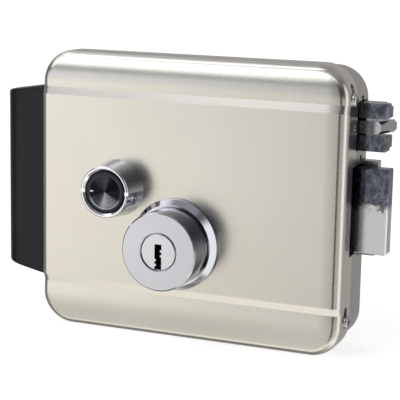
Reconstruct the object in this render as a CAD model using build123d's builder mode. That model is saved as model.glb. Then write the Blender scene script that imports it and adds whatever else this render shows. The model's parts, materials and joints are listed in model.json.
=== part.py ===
from build123d import *
import math
import os

os.makedirs("parts", exist_ok=True)

# Frame: X to the right, towards the bolts; Z up; the door face is the plane Y = 0.
# Depths are distances in front of the door face, so a depth d lies at Y = -d.

# ---- driving dimensions, millimetres ----
cover_w = 120.0          # overall width of the cover
cover_h = 105.0          # overall height of the cover
body_depth = 26.8        # door face to the raised panel
skirt_depth = 14.7       # door face to the cover's rear edge
cover_sheet = 1.2        # cover sheet
corner_r = 12.0          # corners, seen from the front
fold_r = 3.2             # fold between front and side walls

panel_top = 36.0         # upper edge of the raised panel
panel_bottom = -33.5     # lower edge of the raised panel
step_height = 2.8        # the bend beside the panel, along Z
step_drop = 1.0          # the same bend, along the depth
band_drop = 3.6          # how far the bands have fallen back at the fold

case_wall = 1.6          # rear case sheet
case_floor = 2.0         # rear case back wall
case_h = 101.4           # rear case height
case_side_gap = 0.3      # case side wall inside the cover's side plane
rim_below = 3.8          # case's front rim behind the cover's panel
tray_gap = 0.2           # cover's rear edge to the tray
fit_gap = 0.3            # clearance between parts that slide past each other
touch_gap = 0.05         # clearance between parts that are fastened together
tiny = 0.1               # small step that keeps faces apart
over = 1.0               # how far a cut runs past the face it opens
run_gap = 0.06           # radial clearance of a running fit

bolt_h = 31.0            # main bolt height
bolt_gap = 0.2           # main bolt in front of its carriage
bolt_t = 6.2             # main bolt thickness
notch_gap = 0.7          # bolt to its notch in the cover's skirt
notch_above = 5.5        # notch's front end in front of the bolt
guide_above = 1.7        # guide plate's front edge in front of the bolt
bolt_out = 11.8          # how far the bolt stands out of the cover's side
bolt_len = 33.8          # main bolt length
carriage_t = 4.0         # carriage thickness
carriage_h = 34.6        # carriage nose height
carriage_out = 6.0       # how far the carriage nose stands out

prong_top = 38.7         # upper edge of the upper latch block
prong_bottom = 21.6      # lower edge of the lower latch block
prong_h_top = 5.4        # height of the upper latch block
prong_h_low = 5.6        # height of the lower latch block
latch_out = 10.3         # how far the latch blocks stand out
latch_back = 4.8         # depth of the latch blocks' rear face
tongue_z = 30.1          # middle height of the trigger tongue
tongue_h = 4.5           # tongue height
tongue_back = 2.7        # depth of the tongue's rear face
tongue_out = 11.2        # how far the nose stands out at its rear
tongue_lead = 3.1        # how much the nose slopes back towards the front

cyl_x, cyl_z = -3.6, -16.1    # cylinder axis
collar_r = 14.4
collar_out = 15.6             # collar's face in front of the panel
plug_r = 6.8
flange_r = 17.0
flange_h = 4.0
body_r = 11.0                 # cylinder body behind the collar

button_x, button_z = -27.6, 2.8   # exit button axis
bezel_r = 9.55
bezel_foot_r = 10.7
bezel_out = 11.1              # bezel's rim in front of the panel
grub_up = 6.4                 # grub screw in front of the panel
cap_r = 7.9
cap_recess = 0.7
button_travel = 4.0

cap_width = 25.2         # black side cap, beyond the case
cap_root_h = 76.8        # its height at the case
cap_tip_h = 68.6         # its height at the outer edge
cap_curl = 8.0           # radius of its outer curl
cap_shell = 2.2          # its wall

mount_x, mount_z = 42.0, 44.5     # case mounting holes, from the centre
mount_hole_r = 2.75
cable_x, cable_z, cable_r = -36.0, -32.0, 5.0

half_w = cover_w / 2
half_h = cover_h / 2
panel_in = body_depth - cover_sheet     # depth of the cover's inner face behind the panel
case_half_w = half_w - case_side_gap
rim_half_w = half_w - cover_sheet - case_side_gap
inner_half_w = rim_half_w - case_wall
carriage_back = case_floor + fit_gap
bolt_back = carriage_back + carriage_t + bolt_gap
bolt_front = bolt_back + bolt_t          # depth of the main bolt's front face
notch_front = bolt_front + notch_above   # depth of the main bolt's notch in the skirt
guide_front = bolt_front + guide_above
rim_front = body_depth - rim_below       # depth of the case's front rim
collar_front = body_depth + collar_out   # depth of the collar's face
button_front = body_depth + bezel_out    # depth of the bezel's rim
grub_depth = body_depth + grub_up

# values shared by several pieces
side_screw_head_h = 1.4
side_screw_len = 4.2
latch_gap = 0.9              # latch blocks to the front of their window
hook_depth = (17.6, 18.8)    # depths of the cover's hooks
case_edge_r = 0.8
relief_h = 1.7
relief_depth = (6.4, 8.6)
wire_window_z = (-36.0, -16.0)
wire_window_d = (4.0, 11.0)
follower_boss_r = 7.0
sleeve_r = 9.3               # threaded sleeve of the exit button
inner_screw_r = 1.5
inner_screw_head = (2.4, 1.1)    # radius and height of its head
screw_short = 0.2            # screw's end below the case's outer face

cap_root_depth = 13.7        # depth of the side cap's face at the case
cap_curl_depth = 4.2         # depth of the curl's centre
cap_edge_r = 1.2
cap_boss = 6.0
cap_screw_z = (22.0, -8.0)
cap_screw_depth = 7.5
cap_screw_r = 1.2
cap_screw_head_r = 2.2
cap_screw_head_h = 1.1
cap_screw_len = 7.0
thread_run = 0.4             # hole beyond the screw's tip

bolt_edge = 0.5
rivet_inset = 9.5            # rivets from the bolt's inner end
rivet_z = 12.0
rivet_r = 2.0
rivet_cap = 1.2              # bolt metal left over the rivets
rod_r = 1.25                 # spring rods
rod_grip = 6.0
bolt_rod_z = 10.0
bolt_rod_depth = 9.2
bolt_rod_len = 34.0
tail_t = 2.5                 # carriage tail
tail_left = -30.0
tail_z = (-4.8, 12.0)
catch_x = (-4.0, -1.0)
catch_h = 4.0
catch_front = 10.5
ear_x = (0.5, 3.5)
ear_t = 2.6
ear_drop = 3.7
ear_front = 12.4
stud_x = (14.0, -24.0)
stud_z = 2.0
stud_r = 2.0
stud_head_r = 3.4
bracket_t = 2.0
foot_t = 1.6
foot_len = 8.0
bolt_bracket_x = 6.0
bolt_bracket_screw = (12.4, 15.2)
bolt_post_z = (0.6, 5.5)     # post above the carriage tail
rod_land = 2.6               # bracket metal round the spring rod
rod_cover = 3.6
rod_tip = 0.3                # chamfer at the rods' inner ends
stud_head_t = 1.4
foot_w = 5.5
tab_w = 5.2                  # screw tabs of the plate and the solenoid frame
tab_len = 3.4

fork_left = 30.0
bridge_len = 7.0
bridge_back = 9.0
prong_edge = 0.4
rebate_len = 2.4
rebate_h = 1.3
rebate_t = 3.0
latch_rod_z = 36.0
latch_rod_depth = 8.2
latch_rod_len = 28.0
head_left = 50.0
nose_flat = 1.0
nose_edge = 1.1
stem_left = 30.0
stem_t = 3.6
tongue_rod_len = 32.0
tongue_rod_r = 1.0
latch_bracket_x = 8.0
latch_bracket_z = (22.3, 40.5)
latch_bracket_screw = (14.4, 25.0)
guide_z = (-26.0, 42.4)
plate_gap = 0.5              # guide plate to the case's wall
guide_screws = [(50.6, -22.6), (50.6, 42.0)]

sear_x, sear_z = -18.0, 14.0
follower_arm_d = (6.8, 8.2)
keeper_screws = [(cyl_x - 11.6, cyl_z - 8.0), (cyl_x + 11.6, cyl_z - 8.0)]
terminal_screw_place = (-41.2, -20.0)
core_x = -39.25              # middle of the solenoid
coil_len = 29.5
coil_z = 31.0
coil_depth = 13.0
coil_frame_half = 9.0
frame_t = 1.8
frame_tab_w = 5.6
plunger_r = 4.0
solenoid_screws = [(core_x + side * 9.5, 18.8) for side in (-1, 1)]
plunger_travel = 4.0
core_len = 5.0
bobbin_t = 0.9
bobbin_flange_r = 8.8
winding_down = 0.5           # winding below the bobbin's flanges
spring_wall = 1.0            # plunger's wall round its spring
plunger_edge = 0.4
pin_short = 0.2              # link pin below the plunger's surface
spring_bore = 8.0
link_r = 1.1
sear_t = 2.0
sear_boss_r = 3.6
sear_pin_r = 1.4
sear_arm_w = 4.0
sear_arm_over = 3.0          # arm beyond the link pin
sear_tip_w = 3.2             # width of the sear's nose, along X
sear_slot = 4.4              # slot of the link pin
slot_gap = 0.2
catch_gap = 0.4              # sear's nose above the catch's front
stroke_gap = 0.4             # air left at the end of the plunger's stroke
clevis_inset = 5.2           # bottom of the plunger's slot, from the pin
plunger_nose = 4.0           # plunger's end beyond the pin
back_collar = (0.9, 1.0)     # height over the pivot and thickness of its rear collar
front_collar = (1.2, 0.9)    # the same of the clip in front
pivot_over = 1.4             # pivot's end in front of the sear

terminal_x = (-55.5, -44.5)
terminal_z = -26.0
terminal_front = 12.5
pole_pitch = 6.4
clamp_w = 4.6
clamp_screw_r = 1.5
block_end = 0.8              # plastic beyond the outer poles
block_wall = 1.6
block_floor = 2.0
clamp_down = 2.2             # clamp's top below the block's front
screw_down = 0.6             # screw's top below the block's front
driver_slot = (0.6, 2.8, 0.7)    # width, length and depth of the clamp screws' slots
wire_hole_r = 1.4
wire_depth = 6.0

groove_t = 0.5               # dark groove between flange and collar
flange_edge = 1.6            # the flange's straight edge
cyl_back = 13.0              # depth of the cylinder body's rear face
nut_r = 13.6
nut_t = 2.6
nut_wall = 2.4               # bezel nut's wall across its flats
keyway_w = 2.7
keyway_h = 9.2
keyway_z = -1.7              # keyway's middle, from the plug's axis
keyway_deep = 24.0
keyway_wards = [(1, 2.2), (1, 0.4), (-1, -1.2), (-1, -3.0)]
ward_size = 0.8
cam_t = 3.0
cam_hub_r = 5.0
cam_arm = 12.0
cam_w = 6.0
cam_screw_r = 2.0
cam_thread = 5.5
cam_screw_head = (3.2, 1.3)  # radius and height of its head
flange_land = 0.8            # flange's flat ring around the collar
flange_round = 0.5
groove_step = 0.9            # the groove's bottom inside the collar's radius
collar_edge = 0.5
plug_edge = 0.4
bore_edge = 0.35             # chamfer of the collar's bore, beside the plug
plug_proud = 0.3             # plug's rear end behind the cylinder body

cap_gap = 0.08
sleeve_back = 18.0
sleeve_floor = 2.0
stem_r = 3.0
stem_tip = 11.5
cap_disc_t = 4.7
cap_rings = (1.6, 3.0, 4.4, 5.8)
ring_w = 0.35
ring_deep = 0.2
rim_notch = 0.6
mark_x, mark_len, mark_w, mark_deep = -5.6, 1.8, 0.5, 0.2
bezel_round = 0.6
bezel_lip = 0.7              # chamfer at the bezel's mouth
cap_edge = 0.3
stem_edge = 1.2
clip_w, clip_t = 1.7, 1.2
clip_gap = 0.2               # clip behind the bezel's sleeve
grub_angle = math.radians(-15)
grub_r = 1.5
grub_len = 2.1
grub_edge = 0.3
grub_socket_r = 0.7
grub_socket_deep = 1.0
grub_gap = 0.15              # screw's tip to the button's bore

follower_flange_r = 8.8
follower_hub_r = 5.2
follower_arm = 11.0
keeper_wall = 1.7
keeper_t = 3.3
keeper_pocket = 2.1
keeper_ear_r = 3.4
keeper_root = 4.0
follower_front = 0.3         # depth of the follower's rear face
follower_flange_front = 3.9  # depth of its flange's front face
follower_arm_w = 5.0
tail_slot_w = 2.6
tail_slot_l = 9.0
inner_screw_places = [bolt_bracket_screw, latch_bracket_screw, terminal_screw_place]
inner_screw_places += guide_screws + keeper_screws + solenoid_screws


def depth(d):
    """Plane parallel to the door face, d in front of it; sketches see X and Z."""
    return Plane.XZ.offset(d)


def block(x, z, d):
    """Box between pairs of X, Z and depth values."""
    with BuildPart() as piece:
        with BuildSketch(depth(d[0])):
            with Locations(((x[0] + x[1]) / 2, (z[0] + z[1]) / 2)):
                Rectangle(x[1] - x[0], z[1] - z[0])
        extrude(amount=d[1] - d[0])
    return piece.part


def disc(x, z, r, d):
    """Round bar along the depth, between two depths."""
    with BuildPart() as piece:
        with BuildSketch(depth(d[0])):
            with Locations((x, z)):
                Circle(r)
        extrude(amount=d[1] - d[0])
    return piece.part


def rod(x, z, d, r):
    """Round bar along X at a height and depth."""
    with BuildPart() as piece:
        with BuildSketch(Plane.YZ.offset(x[0])):
            with Locations((-d, z)):
                Circle(r)
        extrude(amount=x[1] - x[0])
    return piece.part


def coil_spring(start, along, length, coil_r, wire_r, turns):
    """Open helical spring between two seats, its ends clear of them."""
    clear = wire_r + touch_gap
    first = Vector(*start) + Vector(*along) * clear
    height = length - 2 * clear
    with BuildPart() as coil:
        with BuildLine() as path:
            Helix(pitch=height / turns, height=height, radius=coil_r, center=first, direction=along)
        with BuildSketch(Plane(origin=path.line @ 0, z_dir=path.line % 0)):
            Circle(wire_r)
        sweep()
    return coil.part


def pan_screw(head_r, head_h, shank_r, shank_len):
    """Cross-recessed pan head screw, head above Z = 0, shank below."""
    crown = head_h * 0.55            # rounding, and depth of the cross
    slot_l, slot_w = head_r * 1.1, head_r * 0.26
    with BuildPart() as screw:
        Cylinder(head_r, head_h, align=(Align.CENTER, Align.CENTER, Align.MIN))
        fillet(screw.faces().sort_by(Axis.Z)[-1].edges(), crown)
        Cylinder(shank_r, shank_len, align=(Align.CENTER, Align.CENTER, Align.MAX))
        with BuildSketch(Plane.XY.offset(head_h)):
            Rectangle(slot_l, slot_w)
            Rectangle(slot_w, slot_l)
        extrude(amount=-crown, mode=Mode.SUBTRACT)
    return screw.part


def finish(piece, name):
    piece.part.label = name
    export_step(piece.part, f"parts/{name}.step")


# ---- springs: coil radius, wire radius and turns ----
bolt_coil = (2.05, 0.45, 9)
latch_coil = (1.95, 0.45, 7)
trigger_coil = (1.5, 0.32, 8)
plunger_coil = (2.3, 0.3, 7)
button_coil = (5.4, 0.5, 5.5)


# ---- front cover ----
side_screw_r = 1.5
side_screw_head_r = 2.5
side_screw_depth = 20.1
side_screw_z = (40.4, -39.3)
slot_rise = 4.3              # slot's upper end above the screw
side_hole_r = 1.5            # small hole in the side wall, in line with the tongue
side_hole_depth = 17.9
hook_z = (24.0, -24.0)       # hooks on the left wall
hook_h = 8.0
slot_gap_r = 0.2             # side screw to its slot
band_bow = 2.7               # radius of the bands, in band heights
bend_share = 0.4             # the bend's shift on the inner face, in sheet thicknesses
near = 0.01

def perimeter(form, wall_x, wall_z, r):
    """Edges between the front of a rounded-rectangle form and its walls."""
    def on_wall(p):
        x, z = abs(p.X), abs(p.Z)
        if x > wall_x - r and z > wall_z - r:
            return abs(math.hypot(x - wall_x + r, z - wall_z + r) - r) < near
        return x > wall_x - near or z > wall_z - near

    front_edges = form.edges().filter_by(Axis.Y, reverse=True)
    front_edges = front_edges.filter_by(lambda e: e.center().Y < -skirt_depth - over)
    return front_edges.filter_by(lambda e: all(on_wall(e @ t) for t in (0.0, 0.3, 0.7, 1.0)))


def cover_form(inset):
    """Solid outer form of the cover, moved inwards by an inset."""
    front = body_depth - inset
    top = half_h - inset
    reach = 4 * over                # the profile runs past the walls
    bend_in = inset * bend_share
    band_r = (half_h - panel_top) * band_bow
    with BuildPart() as form:
        with BuildSketch(depth(skirt_depth)):
            RectangleRounded(2 * (half_w - inset), 2 * top, corner_r - inset)
        extrude(amount=front)
        with BuildSketch(Plane.YZ):
            with BuildLine():
                upper = (-(front - step_drop), panel_top + step_height - bend_in)
                upper_end = (-(front - band_drop), top + reach)
                lower = (-(front - step_drop), panel_bottom - step_height + bend_in)
                lower_end = (-(front - band_drop), -top - reach)
                RadiusArc(lower_end, lower, band_r)
                Polyline(lower, (-front, panel_bottom), (-front, panel_top), upper)
                RadiusArc(upper, upper_end, band_r)
                Polyline(upper_end, (over, top + reach), (over, -top - reach), lower_end)
            make_face()
        extrude(amount=half_w + reach, both=True, mode=Mode.INTERSECT)
        fillet(perimeter(form, half_w - inset, top, corner_r - inset), fold_r - inset)
    return form.part


with BuildPart() as front_cover:
    add(cover_form(0))
    add(cover_form(cover_sheet), mode=Mode.SUBTRACT)
    with BuildSketch(depth(skirt_depth)):
        with Locations((cyl_x, cyl_z)):
            Circle(body_r + fit_gap)
        with Locations((button_x, button_z)):
            Circle(sleeve_r + fit_gap)
    extrude(amount=body_depth, mode=Mode.SUBTRACT)
    # notch of the bolt in the right skirt
    bolt_notch_z = bolt_h / 2 + notch_gap
    right_wall = (half_w - 3 * cover_sheet, half_w + over)
    add(block(right_wall, (-bolt_notch_z, bolt_notch_z), (0, notch_front)), mode=Mode.SUBTRACT)
    add(rod(right_wall, tongue_z, side_hole_depth, side_hole_r), mode=Mode.SUBTRACT)
    # slots of the side screws
    with BuildSketch(Plane.YZ.offset(half_w - 3 * cover_sheet)):
        slot_len = slot_rise + side_screw_r + 2 * fit_gap
        for z in side_screw_z:
            with Locations((-side_screw_depth, z + (slot_rise - side_screw_r) / 2)):
                SlotOverall(slot_len + side_screw_r, 2 * (side_screw_r + slot_gap_r), rotation=90)
    extrude(amount=4 * cover_sheet, mode=Mode.SUBTRACT)
    # hooks that reach through the case's left rim
    for z in hook_z:
        hook_x = (-half_w + cover_sheet, -inner_half_w + case_wall)
        hook_span = (z - hook_h / 2, z + hook_h / 2)
        add(block((hook_x[0] - cover_sheet / 2, hook_x[1]), hook_span, hook_depth))
finish(front_cover, "front_cover")


# ---- rear case ----
tray_front = skirt_depth - tray_gap
tray_r = corner_r - case_side_gap
rim_r = corner_r - cover_sheet - case_side_gap
right_side = (inner_half_w - 2 * over, half_w + over)
left_side = (-half_w - over, -inner_half_w + 2 * over)

with BuildPart() as rear_case:
    with BuildSketch(depth(0)):
        RectangleRounded(2 * case_half_w, case_h, tray_r)
    extrude(amount=tray_front)
    fillet(rear_case.faces().sort_by(Axis.Y)[-1].edges(), case_edge_r)
    with BuildSketch(depth(tray_front)):
        RectangleRounded(2 * rim_half_w, case_h, rim_r)
    extrude(amount=rim_front - tray_front)
    with BuildSketch(depth(case_floor)):
        RectangleRounded(2 * (case_half_w - case_wall), case_h - 2 * case_wall, tray_r - case_wall)
    extrude(amount=tray_front - case_wall - case_floor, mode=Mode.SUBTRACT)
    with BuildSketch(depth(case_floor)):
        RectangleRounded(2 * inner_half_w, case_h - 2 * case_wall, rim_r - case_wall)
    extrude(amount=rim_front, mode=Mode.SUBTRACT)
    # windows of the bolts in the right wall
    nose_z = carriage_h / 2 + fit_gap
    add(block(right_side, (-nose_z, nose_z), (case_floor, bolt_back + fit_gap)), mode=Mode.SUBTRACT)
    add(block(right_side, (-bolt_notch_z, bolt_notch_z), (case_floor, notch_front + fit_gap)),
        mode=Mode.SUBTRACT)
    latch_span = (prong_bottom - fit_gap, prong_top + fit_gap)
    add(block(right_side, latch_span, (case_floor + fit_gap, bolt_front + latch_gap)), mode=Mode.SUBTRACT)
    add(rod(right_side, tongue_z, side_hole_depth, side_hole_r - fit_gap), mode=Mode.SUBTRACT)
    # small reliefs at the windows' upper edges
    for z in (nose_z, latch_span[1]):
        add(block(right_side, (z - tiny, z + relief_h), relief_depth), mode=Mode.SUBTRACT)
    # slots of the cover's hooks, window behind the side cap
    for z in hook_z:
        hook_slot_z = (z - hook_h / 2 - fit_gap, z + hook_h / 2 + fit_gap)
        hook_slot_d = (hook_depth[0] - fit_gap, hook_depth[1] + fit_gap)
        add(block(left_side, hook_slot_z, hook_slot_d), mode=Mode.SUBTRACT)
    add(block(left_side, wire_window_z, wire_window_d), mode=Mode.SUBTRACT)
    # holes in the back wall
    with BuildSketch(depth(-over)):
        with GridLocations(2 * mount_x, 2 * mount_z, 2, 2):
            Circle(mount_hole_r)
        with Locations((cable_x, cable_z)):
            Circle(cable_r)
        with Locations((cyl_x, cyl_z)):
            Circle(follower_boss_r + run_gap)
        with Locations(*inner_screw_places):
            Circle(inner_screw_r + touch_gap)
    extrude(amount=case_floor + 2 * over, mode=Mode.SUBTRACT)
    # tapped holes of the side screws and the side cap's screws
    with BuildSketch(Plane.YZ.offset(inner_half_w - over)):
        for z in side_screw_z:
            with Locations((-side_screw_depth, z)):
                Circle(side_screw_r + touch_gap)
    extrude(amount=case_wall + 2 * over, mode=Mode.SUBTRACT)
    with BuildSketch(Plane.YZ.offset(-half_w)):
        for z in cap_screw_z:
            with Locations((-cap_screw_depth, z)):
                Circle(cap_screw_r + touch_gap)
    extrude(amount=half_w - inner_half_w + over, mode=Mode.SUBTRACT)
finish(rear_case, "rear_case")


# ---- screws of the cover and of the side cap ----
side_screw = pan_screw(side_screw_head_r, side_screw_head_h, side_screw_r, side_screw_len)
with BuildPart() as cover_screws:
    for z in side_screw_z:
        with Locations(Plane(origin=(half_w, -side_screw_depth, z), z_dir=(1, 0, 0))):
            add(side_screw)
finish(cover_screws, "cover_screws")

cap_screw = pan_screw(cap_screw_head_r, cap_screw_head_h, cap_screw_r, cap_screw_len)
with BuildPart() as cap_screws:
    for z in cap_screw_z:
        seat = (-case_half_w + case_wall, -cap_screw_depth, z)
        with Locations(Plane(origin=seat, z_dir=(1, 0, 0))):
            add(cap_screw)
finish(cap_screws, "cap_screws")


# ---- side cap ----
cap_tip_x = half_w + cap_width


def cap_form(inset):
    """Solid outer form of the side cap, moved inwards by an inset."""
    centre = (-(cap_tip_x - cap_curl), -cap_curl_depth)
    curl = cap_curl - inset
    root = (-case_half_w, -(cap_root_depth - inset))
    with BuildPart() as form:
        with BuildSketch(Plane.XY):
            with BuildLine():
                outer = CenterArc(centre, curl, 180, 80)
                crown = TangentArc(outer @ 1, root, tangent=outer % 1)
                Polyline(crown @ 1, (-case_half_w, 0), (-cap_tip_x + inset, 0), outer @ 0)
            make_face()
        extrude(amount=cap_root_h, both=True)
        with BuildSketch(depth(-over)):
            with BuildLine():
                root_z = cap_root_h / 2 - inset
                tip_z = cap_tip_h / 2 - inset
                Polyline((-case_half_w, root_z), (-cap_tip_x, tip_z), (-cap_tip_x, -tip_z),
                         (-case_half_w, -root_z), close=True)
            make_face()
        extrude(amount=body_depth, mode=Mode.INTERSECT)
        ends = form.edges().filter_by(lambda e: abs(e.center().Z) > cap_tip_h / 2 - inset - over)
        ends = ends.filter_by(lambda e: e.center().Y < -over and e.center().X < -case_half_w - cap_edge_r / 2)
        fillet(ends, cap_edge_r - inset * (cap_edge_r / 4))
    return form.part


with BuildPart() as side_cap:
    add(cap_form(0))
    add(cap_form(cap_shell), mode=Mode.SUBTRACT)
    for z in cap_screw_z:
        boss_x = (-case_half_w - cap_screw_len, -case_half_w)
        boss_z = (z - cap_boss / 2, z + cap_boss / 2)
        boss_d = (cap_screw_depth - cap_boss / 2, cap_root_depth - cap_shell / 2)
        add(block(boss_x, boss_z, boss_d))
    with BuildSketch(Plane.YZ.offset(-case_half_w)):
        for z in cap_screw_z:
            with Locations((-cap_screw_depth, z)):
                Circle(cap_screw_r + touch_gap)
    extrude(amount=-(cap_screw_len - case_wall + thread_run), mode=Mode.SUBTRACT)
finish(side_cap, "side_cap")


# ---- main bolt and its carriage ----
bolt_x = (half_w + bolt_out - bolt_len, half_w + bolt_out)
nose_x = (bolt_x[0], half_w + carriage_out)
tail_front = carriage_back + tail_t
rivet_places = [(bolt_x[0] + rivet_inset, z) for z in (-rivet_z, rivet_z)]

with BuildPart() as main_bolt:
    add(block(bolt_x, (-bolt_h / 2, bolt_h / 2), (bolt_back, bolt_front)))
    nose_edges = main_bolt.faces().sort_by(Axis.X)[-1].edges()
    chamfer(nose_edges, bolt_edge)
    long_edges = main_bolt.edges().filter_by(Axis.X)
    fillet(long_edges, bolt_edge)
    with BuildSketch(depth(bolt_back)):
        with Locations(*rivet_places):
            Circle(rivet_r + touch_gap)
    extrude(amount=bolt_t - rivet_cap, mode=Mode.SUBTRACT)
    add(rod((bolt_x[0], bolt_x[0] + rod_grip), bolt_rod_z, bolt_rod_depth, rod_r + touch_gap),
        mode=Mode.SUBTRACT)
finish(main_bolt, "main_bolt")

with BuildPart() as bolt_carriage:
    add(block(nose_x, (-carriage_h / 2, carriage_h / 2), (carriage_back, carriage_back + carriage_t)))
    fillet(bolt_carriage.faces().sort_by(Axis.X)[-1].edges(), bolt_edge)
    add(block((tail_left, bolt_x[0]), (tail_z[0], tail_z[1]), (carriage_back, tail_front)))
    # catch for the sear, ear for the key cam
    add(block(catch_x, (tail_z[1] - catch_h, tail_z[1]), (tail_front, catch_front)))
    add(block(ear_x, (tail_z[0], tail_z[0] + ear_t), (tail_front, ear_front)))
    add(block(ear_x, (tail_z[0] - ear_drop, tail_z[0]), (follower_arm_d[0] - 2 * fit_gap, ear_front)))
    with BuildSketch(depth(0)):
        for x in stud_x:
            with Locations((x + bolt_out / 2, stud_z)):
                SlotOverall(bolt_out + 2 * (stud_r + fit_gap), 2 * (stud_r + fit_gap))
        with Locations(*rivet_places):
            Circle(rivet_r + touch_gap)
    extrude(amount=carriage_back + carriage_t + tiny, mode=Mode.SUBTRACT)
finish(bolt_carriage, "bolt_carriage")

with BuildPart() as bolt_rivets:
    for x, z in rivet_places:
        add(disc(x, z, rivet_r, (carriage_back + touch_gap, bolt_front - rivet_cap - touch_gap)))
finish(bolt_rivets, "bolt_rivets")

with BuildPart() as bolt_rod:
    rod_x = (bolt_x[0] - bolt_rod_len, bolt_x[0] + rod_grip - touch_gap)
    add(rod(rod_x, bolt_rod_z, bolt_rod_depth, rod_r))
    chamfer(bolt_rod.faces().sort_by(Axis.X)[0].edges(), rod_tip)
finish(bolt_rod, "bolt_rod")

with BuildPart() as slide_studs:
    for x in stud_x:
        add(disc(x, stud_z, stud_r, (case_floor, tail_front + fit_gap)))
        add(disc(x, stud_z, stud_head_r, (tail_front + fit_gap, tail_front + fit_gap + stud_head_t)))
finish(slide_studs, "slide_studs")

with BuildPart() as bolt_spring_bracket:
    post_x = (bolt_bracket_x, bolt_bracket_x + bracket_t)
    post_z = (tail_z[1] + bolt_post_z[0], tail_z[1] + bolt_post_z[1])
    post_front = bolt_rod_depth + rod_cover
    add(block(post_x, post_z, (case_floor, post_front)))
    add(block(post_x, (bolt_rod_z - rod_land, post_z[0]), (tail_front + 4 * fit_gap, post_front)))
    foot_x = (bolt_bracket_x + bracket_t, bolt_bracket_x + bracket_t + foot_len)
    add(block(foot_x, post_z, (case_floor, case_floor + foot_t)))
    hole_x = (post_x[0] - over, post_x[1] + over)
    add(rod(hole_x, bolt_rod_z, bolt_rod_depth, rod_r + fit_gap), mode=Mode.SUBTRACT)
    with BuildSketch(depth(case_floor)):
        with Locations(bolt_bracket_screw):
            Circle(inner_screw_r + touch_gap)
    extrude(amount=foot_t, mode=Mode.SUBTRACT)
finish(bolt_spring_bracket, "bolt_spring_bracket")

spring_start = bolt_bracket_x + bracket_t
with BuildPart() as bolt_spring:
    add(coil_spring((spring_start, -bolt_rod_depth, bolt_rod_z), (1, 0, 0),
                    bolt_x[0] - spring_start, *bolt_coil))
finish(bolt_spring, "bolt_spring")


# ---- latch fork, trigger tongue ----
prong_end = half_w + latch_out
low_top = prong_bottom + prong_h_low
up_bottom = prong_top - prong_h_top
tongue_low, tongue_up = tongue_z - tongue_h / 2, tongue_z + tongue_h / 2

with BuildPart() as latch_fork:
    for span in ((up_bottom, prong_top), (prong_bottom, low_top)):
        add(block((fork_left, prong_end), span, (latch_back, bolt_front)))
    add(block((fork_left, fork_left + bridge_len), (prong_bottom, prong_top), (bridge_back, bolt_front)))
    end_edges = latch_fork.edges().filter_by(lambda e: e.center().X > prong_end - near)
    chamfer(end_edges, prong_edge)
    # rebates at the outer rear corners of the two blocks
    rebate_x = (prong_end - rebate_len, prong_end + over)
    rebate_d = (latch_back - over, latch_back + rebate_t)
    for span in ((prong_top - rebate_h, prong_top + over), (prong_bottom - over, prong_bottom + rebate_h)):
        add(block(rebate_x, span, rebate_d), mode=Mode.SUBTRACT)
    add(rod((fork_left, fork_left + rod_grip), latch_rod_z, latch_rod_depth, rod_r + touch_gap),
        mode=Mode.SUBTRACT)
finish(latch_fork, "latch_fork")

with BuildPart() as latch_rod:
    rod_x = (fork_left - latch_rod_len, fork_left + rod_grip - touch_gap)
    add(rod(rod_x, latch_rod_z, latch_rod_depth, rod_r))
    chamfer(latch_rod.faces().sort_by(Axis.X)[0].edges(), rod_tip)
finish(latch_rod, "latch_rod")

with BuildPart() as trigger_tongue:
    nose = half_w + tongue_out
    with BuildSketch(Plane.XY.offset(tongue_low)):
        with BuildLine():
            Polyline((head_left, -bolt_front), (nose - tongue_lead, -bolt_front),
                     (nose, -tongue_back - nose_flat), (nose, -tongue_back), (head_left, -tongue_back),
                     close=True)
        make_face()
    extrude(amount=tongue_h)
    nose_rims = trigger_tongue.edges().filter_by(lambda e: e.center().X > nose - tongue_lead - near)
    nose_rims = nose_rims.filter_by(Axis.Z, reverse=True)
    nose_rims = nose_rims.filter_by(lambda e: e.center().Y < -tongue_back - near)
    chamfer(nose_rims, nose_edge)
    add(block((stem_left, head_left), (tongue_low, tongue_up), (latch_back, latch_back + stem_t)))
    add(rod((stem_left - tongue_rod_len, stem_left), tongue_z, latch_back + stem_t / 2, tongue_rod_r))
finish(trigger_tongue, "trigger_tongue")

with BuildPart() as latch_bracket:
    wall_x = (latch_bracket_x, latch_bracket_x + bracket_t)
    add(block(wall_x, latch_bracket_z, (case_floor, bolt_front)))
    lower_foot = (latch_bracket_z[0], latch_bracket_z[0] + foot_w)
    add(block((wall_x[1], wall_x[1] + foot_len), lower_foot, (case_floor, case_floor + foot_t)))
    hole_x = (wall_x[0] - over, wall_x[1] + over)
    tongue_rod_d = latch_back + stem_t / 2
    for z, d, r in ((latch_rod_z, latch_rod_depth, rod_r), (tongue_z, tongue_rod_d, tongue_rod_r)):
        add(rod(hole_x, z, d, r + fit_gap), mode=Mode.SUBTRACT)
    with BuildSketch(depth(case_floor)):
        with Locations(latch_bracket_screw):
            Circle(inner_screw_r + touch_gap)
    extrude(amount=foot_t, mode=Mode.SUBTRACT)
finish(latch_bracket, "latch_bracket")

latch_seat = latch_bracket_x + bracket_t
with BuildPart() as latch_spring:
    add(coil_spring((latch_seat, -latch_rod_depth, latch_rod_z), (1, 0, 0),
                    fork_left - latch_seat, *latch_coil))
finish(latch_spring, "latch_spring")

with BuildPart() as trigger_spring:
    add(coil_spring((latch_seat, -tongue_rod_d, tongue_z), (1, 0, 0),
                    stem_left - latch_seat, *trigger_coil))
finish(trigger_spring, "trigger_spring")

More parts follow.
